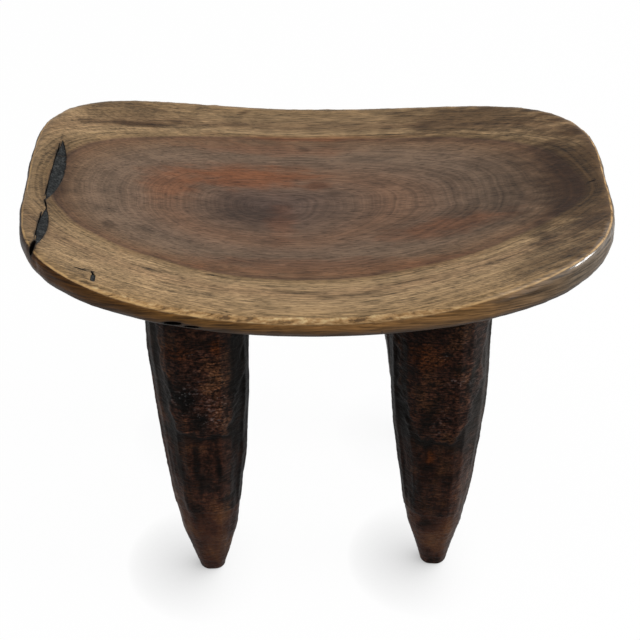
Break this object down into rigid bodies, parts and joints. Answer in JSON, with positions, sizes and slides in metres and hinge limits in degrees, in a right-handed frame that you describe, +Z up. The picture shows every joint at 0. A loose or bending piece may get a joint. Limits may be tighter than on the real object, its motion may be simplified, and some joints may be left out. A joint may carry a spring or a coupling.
{
  "type": "stool",
  "caption": "Low hewn wooden stool with a dished rounded-rectangle seat, raised at its ends, on tapering faceted legs tenoned into its underside; a seat, step or side table.",
  "frame": {"origin": "on the floor, under the middle of the seat", "axes": "+X along the long side of the seat, towards its lower end; -Y towards the viewer in the picture; +Z up"},
  "size_m": [0.46, 0.3039, 0.3443],
  "materials": {
    "seat_wood": "worn waxed hardwood, pale sapwood rim round a reddish-brown heartwood",
    "leg_wood": "dark stained and waxed hardwood with tool marks",
    "crack_filler": "dull dark granular filler"
  },
  "bodies": {
    "root": {"seat": "seat_wood", "leg_front_left": "leg_wood", "leg_front_right": "leg_wood", "leg_rear_left": "leg_wood", "leg_rear_right": "leg_wood", "crack_fill_rear": "crack_filler", "crack_fill_front": "crack_filler", "chip_fill": "crack_filler"}
  },
  "joints": []
}
